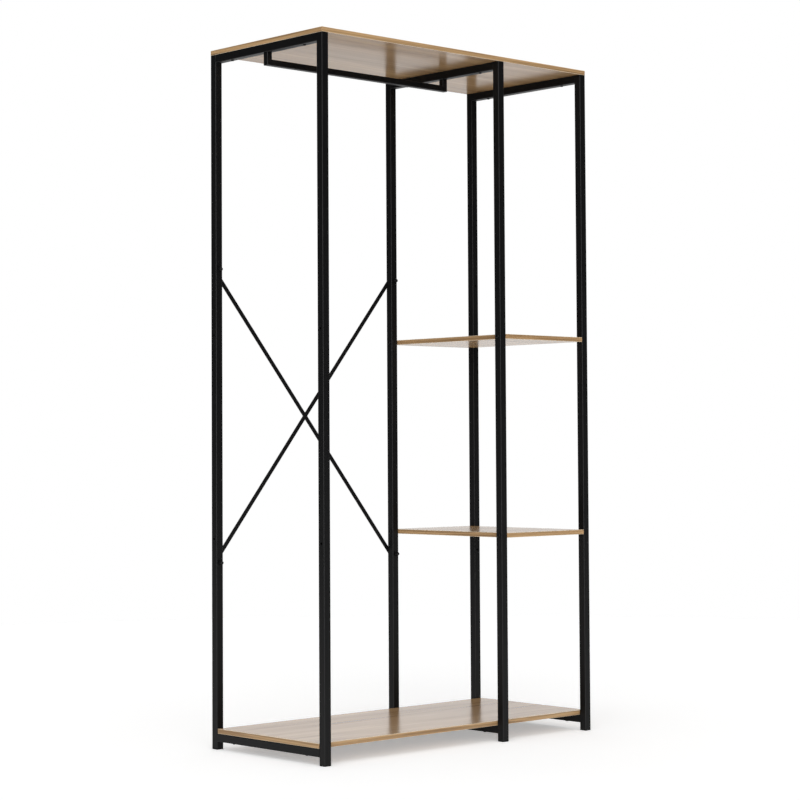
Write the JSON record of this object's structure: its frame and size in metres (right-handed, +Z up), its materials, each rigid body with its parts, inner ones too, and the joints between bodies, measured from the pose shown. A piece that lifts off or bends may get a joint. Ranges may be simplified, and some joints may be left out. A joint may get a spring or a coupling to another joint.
{
  "type": "clothes rack",
  "caption": "Free-standing clothes rack of black square steel tube with oak-effect boards, a hanging rail over one bay, shelves in the other and a crossed rear brace.",
  "frame": {"origin": "on the floor, in the middle of the rack's outer box", "axes": "+Z up, +X to the right seen from the front, so from the hanging bay to the shelves, +Y from the front to the braced rear"},
  "size_m": [0.9234, 0.4298, 1.735],
  "materials": {
    "frame_steel": "black satin powder coat",
    "oak_board": "light oak effect laminate on chipboard, satin",
    "oak_edging": "oak effect edging strip, satin",
    "foot_plastic": "black moulded plastic",
    "black_fasteners": "black coated steel, satin"
  },
  "bodies": {
    "root": {"left_front_post": "frame_steel", "left_rear_post": "frame_steel", "middle_front_post": "frame_steel", "middle_rear_post": "frame_steel", "right_front_post": "frame_steel", "right_rear_post": "frame_steel", "left_top_rail": "frame_steel", "left_bottom_rail": "frame_steel", "middle_top_rail": "frame_steel", "middle_bottom_rail": "frame_steel", "right_top_rail": "frame_steel", "right_bottom_rail": "frame_steel", "left_front_foot_plug": "foot_plastic", "left_rear_foot_plug": "foot_plastic", "middle_front_foot_plug": "foot_plastic", "middle_rear_foot_plug": "foot_plastic", "right_front_foot_plug": "foot_plastic", "right_rear_foot_plug": "foot_plastic", "top_board": "oak_board", "top_board_edging": "oak_edging", "bottom_board": "oak_board", "bottom_board_edging": "oak_edging", "upper_shelf": "oak_board", "upper_shelf_edging": "oak_edging", "lower_shelf": "oak_board", "lower_shelf_edging": "oak_edging", "hanging_bar": "frame_steel", "left_hanging_drop": "frame_steel", "middle_hanging_drop": "frame_steel", "falling_brace": "frame_steel", "rising_brace": "frame_steel", "brace_bolts": "black_fasteners", "brace_cap_nuts": "black_fasteners", "shelf_screws": "black_fasteners", "top_board_screws": "black_fasteners", "bottom_board_screws": "black_fasteners", "hanging_rail_screws": "black_fasteners"}
  },
  "joints": []
}
